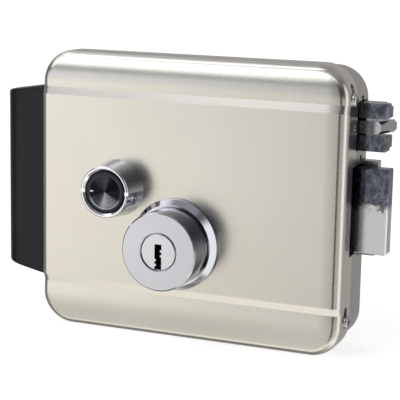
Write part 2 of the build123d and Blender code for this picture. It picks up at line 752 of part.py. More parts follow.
# ---- guide plate behind the right wall ----
with BuildPart() as guide_plate:
    plate_x = (inner_half_w - plate_gap - bracket_t, inner_half_w - plate_gap)
    add(block(plate_x, guide_z, (case_floor, guide_front)))
    window_x = (plate_x[0] - over, plate_x[1] + over)
    bolt_gap_z = bolt_h / 2 + fit_gap
    for half, front in ((nose_z, bolt_back), (bolt_gap_z, bolt_front)):
        window_d = (case_floor - over, front + fit_gap)
        add(block(window_x, (-half, half), window_d), mode=Mode.SUBTRACT)
    add(block(window_x, latch_span, (case_floor + fit_gap, bolt_front + fit_gap)), mode=Mode.SUBTRACT)
    for x, z in guide_screws:
        tab_z = (z - tab_w / 2, z + tab_w / 2)
        add(block((x - tab_len, plate_x[0]), tab_z, (case_floor, case_floor + foot_t)))
    with BuildSketch(depth(case_floor)):
        with Locations(*guide_screws):
            Circle(inner_screw_r + touch_gap)
    extrude(amount=foot_t, mode=Mode.SUBTRACT)
finish(guide_plate, "guide_plate")


# ---- solenoid, plunger ----
frame_x = (core_x - coil_len / 2, core_x + coil_len / 2)
coil_front = coil_depth + coil_frame_half

with BuildPart() as solenoid_frame:
    frame_z = (coil_z - coil_frame_half, coil_z + coil_frame_half)
    add(block(frame_x, frame_z, (case_floor, case_floor + frame_t)))
    add(block((frame_x[0], frame_x[0] + frame_t), frame_z, (case_floor, coil_front)))
    add(block((frame_x[1] - frame_t, frame_x[1]), frame_z, (case_floor, coil_front)))
    for x, z in solenoid_screws:
        tab_z = (z - frame_tab_w / 2, frame_z[0])
        add(block((x - tab_len, x + tab_len), tab_z, (case_floor, case_floor + frame_t)))
    hole_x = (frame_x[1] - frame_t - over, frame_x[1] + over)
    add(rod(hole_x, coil_z, coil_depth, plunger_r + fit_gap), mode=Mode.SUBTRACT)
    with BuildSketch(depth(case_floor)):
        with Locations(*solenoid_screws):
            Circle(inner_screw_r + touch_gap)
    extrude(amount=frame_t, mode=Mode.SUBTRACT)
finish(solenoid_frame, "solenoid_frame")

bobbin_x = (frame_x[0] + frame_t + touch_gap, frame_x[1] - frame_t - touch_gap)
with BuildPart() as coil_bobbin:
    add(rod(bobbin_x, coil_z, coil_depth, plunger_r + fit_gap + bobbin_t))
    for x in (bobbin_x[0], bobbin_x[1] - bobbin_t):
        add(rod((x, x + bobbin_t), coil_z, coil_depth, bobbin_flange_r))
    bore_x = (bobbin_x[0] - over, bobbin_x[1] + over)
    add(rod(bore_x, coil_z, coil_depth, plunger_r + fit_gap), mode=Mode.SUBTRACT)
finish(coil_bobbin, "coil_bobbin")

with BuildPart() as coil_winding:
    winding_x = (bobbin_x[0] + bobbin_t + touch_gap, bobbin_x[1] - bobbin_t - touch_gap)
    add(rod(winding_x, coil_z, coil_depth, bobbin_flange_r - winding_down))
    add(rod(winding_x, coil_z, coil_depth, plunger_r + fit_gap + bobbin_t + touch_gap), mode=Mode.SUBTRACT)
finish(coil_winding, "coil_winding")

with BuildPart() as coil_core:
    core_end = bobbin_x[0] + core_len
    add(rod((bobbin_x[0], core_end), coil_z, coil_depth, plunger_r))
finish(coil_core, "coil_core")

plunger_x = (core_end + plunger_travel + stroke_gap, sear_x + plunger_nose)
clevis_half = sear_t / 2 + fit_gap
with BuildPart() as plunger:
    add(rod(plunger_x, coil_z, coil_depth, plunger_r))
    chamfer(plunger.faces().sort_by(Axis.X)[-1].edges(), plunger_edge)
    bore_x = (plunger_x[0] - over, plunger_x[0] + spring_bore)
    add(rod(bore_x, coil_z, coil_depth, plunger_r - spring_wall), mode=Mode.SUBTRACT)
    slot_x = (sear_x - clevis_inset, plunger_x[1] + over)
    slot_z = (coil_z - plunger_r - over, coil_z + plunger_r + over)
    add(block(slot_x, slot_z, (coil_depth - clevis_half, coil_depth + clevis_half)), mode=Mode.SUBTRACT)
    link_span = (coil_depth - plunger_r - over, coil_depth + plunger_r + over)
    add(disc(sear_x, coil_z, link_r + touch_gap, link_span), mode=Mode.SUBTRACT)
finish(plunger, "plunger")

with BuildPart() as link_pin:
    pin_half = plunger_r - pin_short
    add(disc(sear_x, coil_z, link_r, (coil_depth - pin_half, coil_depth + pin_half)))
finish(link_pin, "link_pin")

with BuildPart() as plunger_spring:
    add(coil_spring((core_end, -coil_depth, coil_z), (1, 0, 0),
                    plunger_x[0] + spring_bore - core_end, *plunger_coil))
finish(plunger_spring, "plunger_spring")


# ---- sear lever on its pivot ----
sear_back = coil_depth - sear_t / 2
sear_front = coil_depth + sear_t / 2

with BuildPart() as sear_lever:
    with BuildSketch(depth(sear_back)):
        with Locations((sear_x, sear_z)):
            Circle(sear_boss_r)
        arm_end = coil_z + sear_arm_over
        with Locations((sear_x, (sear_z + arm_end) / 2)):
            RectangleRounded(sear_arm_w, arm_end - sear_z, sear_arm_w / 5)
        with BuildLine():
            tip_x, tip_z = catch_x[0] - over, tail_z[1] - 2 * tiny
            Polyline((sear_x - 2.0, sear_z + 2.6), (tip_x, tip_z), (tip_x, tip_z - catch_h),
                     (tip_x - sear_tip_w, tip_z - catch_h), (sear_x + 1.0, sear_z - 3.2), close=True)
        make_face()
        with BuildLine():
            Polyline((sear_x - 3.2, sear_z + 1.0), (sear_x + 0.5, sear_z - 3.4),
                     (button_x + 6.6, button_z + 3.4), (button_x + 4.4, button_z + 5.6), close=True)
        make_face()
        with Locations((sear_x, sear_z)):
            Circle(sear_pin_r + run_gap, mode=Mode.SUBTRACT)
        with Locations((sear_x, coil_z)):
            SlotOverall(sear_slot, 2 * (link_r + slot_gap), rotation=90, mode=Mode.SUBTRACT)
    extrude(amount=sear_t)
    tip_span = (tip_x - sear_tip_w, tip_x)
    add(block(tip_span, (tip_z - catch_h, tip_z), (catch_front + catch_gap, sear_back)))
finish(sear_lever, "sear_lever")

with BuildPart() as sear_pivot:
    add(disc(sear_x, sear_z, sear_pin_r, (case_floor, sear_front + pivot_over)))
    collar_d = (sear_back - tiny - back_collar[1], sear_back - tiny)
    clip_d = (sear_front + tiny, sear_front + tiny + front_collar[1])
    add(disc(sear_x, sear_z, sear_pin_r + back_collar[0], collar_d))
    add(disc(sear_x, sear_z, sear_pin_r + front_collar[0], clip_d))
finish(sear_pivot, "sear_pivot")


# ---- terminal block ----
pole_z = [terminal_z + (i - 1) * pole_pitch for i in range(3)]
with BuildPart() as terminal_block:
    block_half = 1.5 * pole_pitch + block_end
    block_z = (terminal_z - block_half, terminal_z + block_half)
    add(block(terminal_x, block_z, (case_floor, terminal_front)))
    ear_half = 2 * inner_screw_r
    ear_z = (terminal_screw_place[1] - ear_half, terminal_screw_place[1] + ear_half)
    ear_end = terminal_screw_place[0] + ear_half
    add(block((terminal_x[1], ear_end), ear_z, (case_floor, case_floor + foot_t)))
    for z in pole_z:
        pocket_z = (z - clamp_w / 2 - touch_gap, z + clamp_w / 2 + touch_gap)
        pocket_x = (terminal_x[0] + block_wall - touch_gap, terminal_x[1] - block_wall + touch_gap)
        pocket_d = (case_floor + block_floor, terminal_front + over)
        add(block(pocket_x, pocket_z, pocket_d), mode=Mode.SUBTRACT)
        wire_x = (terminal_x[0] - over, terminal_x[0] + 2 * block_wall)
        add(rod(wire_x, z, wire_depth, wire_hole_r), mode=Mode.SUBTRACT)
    with BuildSketch(depth(case_floor)):
        with Locations(terminal_screw_place):
            Circle(inner_screw_r + touch_gap)
    extrude(amount=foot_t, mode=Mode.SUBTRACT)
finish(terminal_block, "terminal_block")

with BuildPart() as terminal_clamps:
    for z in pole_z:
        clamp_x = (terminal_x[0] + block_wall, terminal_x[1] - block_wall)
        clamp_d = (case_floor + block_floor, terminal_front - clamp_down)
        add(block(clamp_x, (z - clamp_w / 2, z + clamp_w / 2), clamp_d))
        add(rod((clamp_x[0] - over, clamp_x[1] + over), z, wire_depth, wire_hole_r), mode=Mode.SUBTRACT)
        middle_x = (terminal_x[0] + terminal_x[1]) / 2
        screw_span = (wire_depth, terminal_front)
        add(disc(middle_x, z, clamp_screw_r + touch_gap, screw_span), mode=Mode.SUBTRACT)
finish(terminal_clamps, "terminal_clamps")

with BuildPart() as terminal_screws:
    for z in pole_z:
        screw_d = (wire_depth + wire_hole_r + tiny, terminal_front - screw_down)
        add(disc(middle_x, z, clamp_screw_r, screw_d))
        slot_w, slot_l, slot_t = driver_slot
        slot_x = (middle_x - slot_w / 2, middle_x + slot_w / 2)
        slot_d = (screw_d[1] - slot_t, terminal_front)
        add(block(slot_x, (z - slot_l / 2, z + slot_l / 2), slot_d), mode=Mode.SUBTRACT)
finish(terminal_screws, "terminal_screws")


# ---- key cylinder ----
def at_cylinder(d):
    """Plane parallel to the door face, centred on the cylinder's axis."""
    return Plane(origin=(cyl_x, -d, cyl_z), x_dir=(1, 0, 0), z_dir=(0, -1, 0))


flange_front = body_depth + flange_h
collar_back = flange_front + groove_t

with BuildPart() as cylinder_flange:
    with BuildSketch(at_cylinder(body_depth)):
        Circle(flange_r)
    extrude(amount=flange_h)
    rim = cylinder_flange.faces().sort_by(Axis.Y)[0].edges()
    chamfer(rim, length=flange_h - flange_edge, length2=flange_r - collar_r - flange_land)
    fillet(cylinder_flange.edges().filter_by(GeomType.CIRCLE).sort_by(Axis.Y)[1:2], flange_round)
    with BuildSketch(at_cylinder(body_depth)):
        Circle(body_r + touch_gap)
    extrude(amount=flange_h, mode=Mode.SUBTRACT)
finish(cylinder_flange, "cylinder_flange")

with BuildPart() as cylinder_body:
    with BuildSketch(at_cylinder(cyl_back)):
        Circle(body_r)
    extrude(amount=flange_front - cyl_back)
    with BuildSketch(at_cylinder(flange_front)):
        Circle(collar_r - groove_step)
    extrude(amount=groove_t)
    with BuildSketch(at_cylinder(collar_back)):
        Circle(collar_r)
    extrude(amount=collar_front - collar_back)
    chamfer(cylinder_body.faces().sort_by(Axis.Y)[0].edges(), collar_edge)
    with BuildSketch(at_cylinder(cyl_back)):
        Circle(plug_r + run_gap)
    extrude(amount=collar_front - cyl_back, mode=Mode.SUBTRACT)
    rings = cylinder_body.edges().filter_by(GeomType.CIRCLE).sort_by(Axis.Y)
    chamfer(rings.filter_by(lambda e: abs(e.radius - plug_r - run_gap) < near)[0:1], bore_edge)
finish(cylinder_body, "cylinder_body")

with BuildPart() as cylinder_nut:
    with BuildSketch(at_cylinder(panel_in - nut_t)):
        RegularPolygon(nut_r, 6, major_radius=False)
        Circle(body_r + touch_gap, mode=Mode.SUBTRACT)
    extrude(amount=nut_t - touch_gap)
finish(cylinder_nut, "cylinder_nut")

cam_front = cyl_back - plug_proud     # depth of the plug's rear end
with BuildPart() as key_plug:
    with BuildSketch(at_cylinder(cam_front)):
        Circle(plug_r)
    extrude(amount=collar_front - cam_front)
    chamfer(key_plug.faces().sort_by(Axis.Y)[0].edges(), plug_edge)
    with BuildSketch(at_cylinder(collar_front - keyway_deep)):
        with Locations((0, keyway_z)):
            Rectangle(keyway_w, keyway_h)
        for side, z in keyway_wards:
            with Locations((side * keyway_w / 2, keyway_z + z)):
                Rectangle(ward_size * 1.4, ward_size, mode=Mode.SUBTRACT)
    extrude(amount=keyway_deep, mode=Mode.SUBTRACT)
    with BuildSketch(at_cylinder(cam_front)):
        Circle(cam_screw_r + touch_gap)
    extrude(amount=cam_thread, mode=Mode.SUBTRACT)
finish(key_plug, "key_plug")

with BuildPart() as plug_cam:
    with BuildSketch(at_cylinder(cam_front - cam_t)):
        Circle(cam_hub_r)
        with Locations((0, -cam_arm / 2)):
            RectangleRounded(cam_w, cam_arm, cam_w / 2 - tiny)
        Circle(cam_screw_r + touch_gap, mode=Mode.SUBTRACT)
    extrude(amount=cam_t)
finish(plug_cam, "plug_cam")

with BuildPart() as cam_screw:
    seat = Plane(origin=(cyl_x, -(cam_front - cam_t), cyl_z), z_dir=(0, 1, 0))
    with Locations(seat):
        add(pan_screw(*cam_screw_head, cam_screw_r, cam_t + cam_thread - over))
finish(cam_screw, "cam_screw")


# ---- exit button ----
def at_button(d):
    """Plane parallel to the door face, centred on the button's axis."""
    return Plane(origin=(button_x, -d, button_z), x_dir=(1, 0, 0), z_dir=(0, -1, 0))


cap_front = button_front - cap_recess
grub_way = (math.cos(grub_angle), 0, math.sin(grub_angle))
grub_plane = Plane(origin=(button_x, -grub_depth, button_z), z_dir=grub_way)

with BuildPart() as button_bezel:
    with BuildSketch(at_button(sleeve_back)):
        Circle(sleeve_r)
    extrude(amount=body_depth - sleeve_back)
    with BuildSketch(at_button(body_depth)):
        Circle(bezel_foot_r)
    slope = math.degrees(math.atan((bezel_foot_r - bezel_r) / (button_front - body_depth)))
    extrude(amount=button_front - body_depth, taper=slope)
    fillet(button_bezel.faces().sort_by(Axis.Y)[0].edges(), bezel_round)
    with BuildSketch(at_button(sleeve_back + sleeve_floor)):
        Circle(cap_r + cap_gap)
    extrude(amount=button_front, mode=Mode.SUBTRACT)
    mouth = button_bezel.edges().filter_by(GeomType.CIRCLE).sort_by(Axis.Y)
    mouth = mouth.filter_by(lambda e: abs(e.radius - cap_r - cap_gap) < near)
    chamfer(mouth[0:1], bezel_lip)
    with BuildSketch(at_button(sleeve_back)):
        Circle(stem_r + run_gap)
    extrude(amount=sleeve_floor, mode=Mode.SUBTRACT)
    with BuildSketch(at_button(button_front - rim_notch)):
        Rectangle(2 * bezel_foot_r, rim_notch * 2.2)
    extrude(amount=rim_notch + over, mode=Mode.SUBTRACT)
    with BuildSketch(grub_plane):
        Circle(grub_r + touch_gap)
    extrude(amount=bezel_foot_r + 2 * over, mode=Mode.SUBTRACT)
finish(button_bezel, "button_bezel")

with BuildPart() as bezel_nut:
    with BuildSketch(at_button(panel_in - nut_t)):
        RegularPolygon(sleeve_r + nut_wall, 6, major_radius=False)
        Circle(sleeve_r + touch_gap, mode=Mode.SUBTRACT)
    extrude(amount=nut_t - touch_gap)
finish(bezel_nut, "bezel_nut")

grub_start = cap_r + cap_gap + grub_gap
with BuildPart() as bezel_grub_screw:
    with BuildSketch(grub_plane.offset(grub_start)):
        Circle(grub_r)
    extrude(amount=grub_len)
    grub_face = bezel_grub_screw.faces().sort_by(Axis(origin=(0, 0, 0), direction=grub_way))[-1]
    chamfer(grub_face.edges(), grub_edge)
    with BuildSketch(grub_plane.offset(grub_start + grub_len)):
        RegularPolygon(grub_socket_r, 6)
    extrude(amount=-grub_socket_deep, mode=Mode.SUBTRACT)
finish(bezel_grub_screw, "bezel_grub_screw")

with BuildPart() as button_cap:
    with BuildSketch(at_button(cap_front - cap_disc_t)):
        Circle(cap_r)
    extrude(amount=cap_disc_t)
    chamfer(button_cap.faces().sort_by(Axis.Y)[0].edges(), cap_edge)
    with BuildSketch(at_button(cap_front)):
        for r in cap_rings:
            Circle(r + ring_w / 2)
            Circle(r - ring_w / 2, mode=Mode.SUBTRACT)
    extrude(amount=-ring_deep, mode=Mode.SUBTRACT)
    with BuildSketch(at_button(stem_tip)):
        Circle(stem_r)
    extrude(amount=cap_front - cap_disc_t - stem_tip)
    chamfer(button_cap.faces().sort_by(Axis.Y)[-1].edges(), stem_edge)
    with BuildSketch(at_button(cap_front)):
        with Locations((mark_x, 0)):
            Rectangle(mark_len + 2 * touch_gap, mark_w + 2 * touch_gap)
    extrude(amount=-mark_deep, mode=Mode.SUBTRACT)
finish(button_cap, "button_cap")

with BuildPart() as index_mark:
    with BuildSketch(at_button(cap_front - mark_deep)):
        with Locations((mark_x, 0)):
            Rectangle(mark_len, mark_w)
    extrude(amount=mark_deep)
finish(index_mark, "index_mark")

with BuildPart() as button_clip:
    with BuildSketch(at_button(sleeve_back - clip_gap - clip_t)):
        Circle(stem_r + clip_w)
        Circle(stem_r + touch_gap, mode=Mode.SUBTRACT)
    extrude(amount=clip_t)
finish(button_clip, "button_clip")

with BuildPart() as button_spring:
    spring_seat = sleeve_back + sleeve_floor
    add(coil_spring((button_x, -spring_seat, button_z), (0, -1, 0),
                    cap_front - cap_disc_t - spring_seat, *button_coil))
finish(button_spring, "button_spring")


# ---- follower of the outside cylinder's tail ----
with BuildPart() as tail_follower:
    flange_back = case_floor + tiny
    for r, d in ((follower_boss_r, (follower_front, flange_back)),
                 (follower_flange_r, (flange_back, follower_flange_front)),
                 (follower_hub_r, (follower_flange_front, follower_arm_d[1]))):
        add(disc(cyl_x, cyl_z, r, d))
    with BuildSketch(at_cylinder(follower_arm_d[0])):
        with Locations((0, -follower_arm / 2)):
            RectangleRounded(follower_arm_w, follower_arm, follower_arm_w / 2 - tiny)
    extrude(amount=follower_arm_d[1] - follower_arm_d[0])
    with BuildSketch(at_cylinder(0)):
        Rectangle(tail_slot_w, tail_slot_l)
        Rectangle(tail_slot_l, tail_slot_w)
    extrude(amount=follower_arm_d[1] + over, mode=Mode.SUBTRACT)
finish(tail_follower, "tail_follower")

with BuildPart() as follower_keeper:
    with BuildSketch(at_cylinder(case_floor)):
        Circle(follower_flange_r + keeper_wall)
        for x, z in keeper_screws:
            with Locations((x - cyl_x, z - cyl_z)):
                Circle(keeper_ear_r)
            with BuildLine():
                side = math.copysign(1.0, x - cyl_x)
                Polyline((side * keeper_root, -follower_flange_r), (x - cyl_x, z - cyl_z - keeper_ear_r),
                         (x - cyl_x, z - cyl_z + keeper_ear_r), (side * follower_flange_r, -over), close=True)
            make_face()
    extrude(amount=keeper_t)
    with BuildSketch(at_cylinder(case_floor)):
        Circle(follower_flange_r + fit_gap)
    extrude(amount=keeper_pocket, mode=Mode.SUBTRACT)
    with BuildSketch(at_cylinder(case_floor)):
        Circle(follower_hub_r + fit_gap)
        with Locations(*[(x - cyl_x, z - cyl_z) for x, z in keeper_screws]):
            Circle(inner_screw_r + touch_gap)
    extrude(amount=keeper_t, mode=Mode.SUBTRACT)
finish(follower_keeper, "follower_keeper")


# ---- screws that hold the inner brackets on the case ----
with BuildPart() as inner_screws:
    for x, z in inner_screw_places:
        seat_depth = case_floor + foot_t
        if (x, z) in keeper_screws:
            seat_depth = case_floor + keeper_t
        if (x, z) in solenoid_screws:
            seat_depth = case_floor + frame_t
        with Locations(Plane(origin=(x, -seat_depth, z), z_dir=(0, -1, 0))):
            add(pan_screw(*inner_screw_head, inner_screw_r, seat_depth - screw_short))
finish(inner_screws, "inner_screws")
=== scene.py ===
import bpy
import bmesh
import json
import math
from mathutils import Matrix, Vector


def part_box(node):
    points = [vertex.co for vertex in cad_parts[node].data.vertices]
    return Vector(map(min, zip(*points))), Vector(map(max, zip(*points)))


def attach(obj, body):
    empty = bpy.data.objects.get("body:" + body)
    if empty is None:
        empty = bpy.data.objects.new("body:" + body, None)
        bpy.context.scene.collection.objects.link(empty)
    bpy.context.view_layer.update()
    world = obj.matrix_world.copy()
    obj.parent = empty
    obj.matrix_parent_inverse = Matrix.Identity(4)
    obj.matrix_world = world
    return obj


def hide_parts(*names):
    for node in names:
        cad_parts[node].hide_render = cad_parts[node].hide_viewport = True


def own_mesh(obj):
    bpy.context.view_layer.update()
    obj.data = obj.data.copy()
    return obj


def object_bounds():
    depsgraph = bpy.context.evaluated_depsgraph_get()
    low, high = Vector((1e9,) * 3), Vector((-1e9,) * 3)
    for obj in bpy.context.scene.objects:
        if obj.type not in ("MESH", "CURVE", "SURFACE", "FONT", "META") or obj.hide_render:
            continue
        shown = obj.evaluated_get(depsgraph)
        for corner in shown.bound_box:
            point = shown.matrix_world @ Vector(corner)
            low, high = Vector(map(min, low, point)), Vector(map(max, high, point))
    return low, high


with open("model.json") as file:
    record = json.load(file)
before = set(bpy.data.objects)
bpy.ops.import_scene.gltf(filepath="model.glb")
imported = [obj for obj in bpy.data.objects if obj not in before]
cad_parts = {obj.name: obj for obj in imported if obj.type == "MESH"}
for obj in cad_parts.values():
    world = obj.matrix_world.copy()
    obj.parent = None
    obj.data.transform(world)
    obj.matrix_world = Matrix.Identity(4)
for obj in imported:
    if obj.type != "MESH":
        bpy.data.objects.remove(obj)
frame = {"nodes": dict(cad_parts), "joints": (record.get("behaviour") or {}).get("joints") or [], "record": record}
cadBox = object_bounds()
nodes = frame["nodes"]


# shader maths written as expressions
class Wire:
    def __init__(self, shader, socket):
        self.shader, self.socket = shader, socket

    def __neg__(self):
        return 0.0 - self

    def __add__(self, other):
        return self.shader.maths("ADD", self, other)

    def __radd__(self, other):
        return self.shader.maths("ADD", other, self)

    def __sub__(self, other):
        return self.shader.maths("SUBTRACT", self, other)

    def __rsub__(self, other):
        return self.shader.maths("SUBTRACT", other, self)

    def __mul__(self, other):
        return self.shader.maths("MULTIPLY", self, other)

    def __rmul__(self, other):
        return self.shader.maths("MULTIPLY", other, self)

    def __pow__(self, other):
        return self.shader.maths("POWER", self, other)

    def __rpow__(self, other):
        return self.shader.maths("POWER", other, self)


class Made:  # a node, whose outputs are read by name or number
    def __init__(self, shader, node):
        self.shader, self.node = shader, node

    def __getitem__(self, key):
        return Wire(self.shader, self.node.outputs[key])


class Shader:
    def __init__(self, tree):
        self.tree = tree
        tree.nodes.clear()

    def node(self, kind, settings=None, sockets=None):
        made = self.tree.nodes.new(kind)
        for key, value in (settings or {}).items():
            setattr(made, key, value)
        for key, value in (sockets or {}).items():
            if isinstance(value, Wire):
                self.tree.links.new(value.socket, made.inputs[key])
            elif isinstance(value, tuple) and made.inputs[key].type == "RGBA":
                made.inputs[key].default_value = (*value, 1.0)
            else:
                made.inputs[key].default_value = value
        return Made(self, made)

    def maths(self, operation, first, second=0.0):
        return self.node("ShaderNodeMath", {"operation": operation}, {0: first, 1: second})[0]

    def mix(self, factor, first, second):  # between two colours, which are sockets 6 and 7
        return self.node("ShaderNodeMix", {"data_type": "RGBA"}, {0: factor, 6: first, 7: second})[2]

    def between(self, value, low, high, outLow=0.0, outHigh=1.0):  # smooth step from low to high
        return self.node("ShaderNodeMapRange", {"interpolation_type": "SMOOTHSTEP"},
                         {0: value, 1: low, 2: high, 3: outLow, 4: outHigh})[0]

    def climb(self, value, low, high):  # straight rise from 0 at low to 1 at high
        return self.node("ShaderNodeMapRange", None, {0: value, 1: low, 2: high})[0]

    def window(self, value, rise, fall):  # 1 between two smooth steps, 0 outside them
        return self.between(value, *rise) * self.between(value, *fall, 1.0, 0.0)

    def place(self, stretch=(1.0, 1.0, 1.0)):  # place on the piece, in metres, stretched
        here = self.node("ShaderNodeTexCoord")["Object"]
        return self.node("ShaderNodeVectorMath", {"operation": "MULTIPLY"}, {0: here, 1: stretch})[0]

    def placeParts(self):
        return self.node("ShaderNodeSeparateXYZ", None, {0: self.place()})

    def noise(self, scale=1.0, detail=2.0, rough=0.5, stretch=(1.0, 1.0, 1.0)):
        return self.node("ShaderNodeTexNoise", None, {"Vector": self.place(stretch), "Scale": scale,
                                                      "Detail": detail, "Roughness": rough})["Fac"]

    def bump(self, height, depth, over=None):  # over is the normal of a broader bump
        sockets = {"Height": height, "Distance": depth}
        if over is not None:
            sockets["Normal"] = over
        return self.node("ShaderNodeBump", None, sockets)[0]


def newMaterial(name):
    material = bpy.data.materials.new(name)
    material.use_nodes = True
    return material, Shader(material.node_tree)


def surface(shader, sockets):
    body = shader.node("ShaderNodeBsdfPrincipled", None, sockets)
    shader.node("ShaderNodeOutputMaterial", None, {"Surface": body[0]})


# finishes
tones = (0.3, 0.7)  # a colour turns from dark to light between these values of its noise
brushedLook = {"blotch": 60.0, "toneShare": 0.6}  # what a brushed finish has unless it says otherwise
plasticLook = {"cloud": 45.0, "cloudDepth": 0.6, "specular": 0.5}


def brushed(s, look):  # grain runs along the axis whose share in "grain" is small
    look = dict(brushedLook, **look)
    streaks = s.noise(detail=3.0, rough=0.6, stretch=look["grain"])
    blotches = s.noise(look["blotch"], detail=3.0, rough=0.55)
    tone = s.between(blotches, *tones) * look["toneShare"] + streaks * (1.0 - look["toneShare"])
    rough = look["rough"] + (streaks + blotches - 1.0) * look["roughSpread"]
    return streaks, s.mix(tone, look["dark"], look["light"]), rough


def metal(name, look):
    material, s = newMaterial(name)
    streaks, color, rough = brushed(s, look)
    normal = s.bump(streaks, look["bump"])
    surface(s, {"Base Color": color, "Metallic": 1.0, "Roughness": rough, "Normal": normal})
    return material


def pressed(name, look):  # brushed sheet, pressed a little rounder towards its upper and bolt-side folds
    material, s = newMaterial(name)
    streaks, color, rough = brushed(s, look)
    here = s.placeParts()
    up = s.climb(here["Z"], *look["pressUp"])
    out = s.climb(here["X"], *look["pressOut"])
    folds = s.bump(-(up * up) - out * out * look["outShare"], look["press"])
    normal = s.bump(streaks, look["bump"], folds)
    surface(s, {"Base Color": color, "Metallic": 1.0, "Roughness": rough, "Normal": normal})
    return material


def plated(name, look):  # thin nickel over steel with a random mottle; its dark tone is painted dark reflection, its lighter parts painted reflection and highlight
    material, s = newMaterial(name)
    here = s.placeParts()
    patches = s.noise(look["patch"], detail=4.0, rough=0.62, stretch=look["patchStretch"])
    specks = s.noise(look["speck"], detail=3.0, rough=0.6)
    mottle = patches * look["patchShare"] + specks * (1.0 - look["patchShare"])
    # painted dark reflection: a dark tone, mottled at random
    paintedDarkReflection = s.mix(s.between(mottle, *look["wornFrom"]), look["dark"], look["mid"])
    duller = tuple(look["dull"] * c for c in look["light"])
    lighterTone = s.mix(s.between(specks, *look["cleanFrom"]), duller, look["light"])
    clear = 0.0
    if "border" in look:  # painted reflection: lighter below this height, dark above, with a ragged edge
        edge = look["border"]
        ragged = here["Z"] + (patches - 0.5) * edge["ragged"]
        clear = s.between(ragged, edge["high"] - edge["soft"], edge["high"] + edge["soft"], 1.0, 0.0)
    if "nose" in look:  # painted highlight: lighter from here out to the tip
        edge = look["nose"]
        ragged = here["X"] + (specks - 0.5) * edge["ragged"]
        clear = s.between(ragged, edge["out"] - edge["soft"], edge["out"] + edge["soft"],
                          edge["least"], edge["most"])
    color = s.mix(clear, paintedDarkReflection, lighterTone)
    rough = look["rough"] + (specks - 0.5) * look["roughSpread"]
    normal = s.bump(patches * look["patchDepth"] + specks * (1.0 - look["patchDepth"]), look["bump"])
    surface(s, {"Base Color": color, "Metallic": 1.0, "Roughness": rough, "Normal": normal})
    return material


def plastic(name, look):
    look = dict(plasticLook, **look)
    material, s = newMaterial(name)
    grain = s.noise(look["grain"], detail=3.0, rough=0.6)
    cloud = s.noise(look["cloud"], detail=3.0)
    color = s.mix(s.between(cloud, *tones), look["dark"], look["light"])
    rough = look["rough"] + (cloud - 0.5) * look["roughSpread"]
    normal = s.bump(grain + cloud * look["cloudDepth"], look["bump"])
    surface(s, {"Base Color": color, "Roughness": rough, "Normal": normal,
                "Specular IOR Level": look["specular"]})
    return material


def turned(name, look):  # turned face with fine rings; a lighter sector of its colour is a painted highlight, fixed to the face
    material, s = newMaterial(name)
    low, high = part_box("button_cap")
    here = s.placeParts()
    across, up = here["X"] - (low.x + high.x) / 2, here["Z"] - (low.z + high.z) / 2
    reach = (across * across + up * up) ** 0.5
    paintedGlintSector = s.window(s.maths("ARCTAN2", -up, across), look["sectorFrom"], look["sectorTo"])
    inside = s.between(reach, *look["edge"], 1.0, 0.0)
    rings = s.between(s.maths("SINE", reach * look["ringsPerMetre"]), *look["ringEdges"])
    patches = s.noise(look["patch"])
    # painted highlight: the colour turns lighter over one sector, where the turned rings would catch the light
    glint = paintedGlintSector * inside * (look["glint"] + patches * look["glintSpread"])
    share = glint + inside * rings * look["ringShine"] - rings * paintedGlintSector * look["ringShade"]
    color = s.mix(share, look["dark"], look["light"])
    rough = look["rough"] + (s.noise(look["cut"]) - 0.5) * look["roughSpread"]
    surface(s, {"Base Color": color, "Metallic": 1.0, "Roughness": rough})
    return material


def windings(name, look):  # enamelled wire, a little uneven from turn to turn
    material, s = newMaterial(name)
    turns = s.noise(look["grain"], detail=1.0, stretch=look["stretch"])
    rough = look["rough"] + turns * look["roughSpread"]
    surface(s, {"Base Color": s.mix(turns, look["dark"], look["light"]), "Metallic": look["metallic"],
                "Roughness": rough, "Coat Weight": look["coat"], "Coat Roughness": look["coatRough"]})
    return material


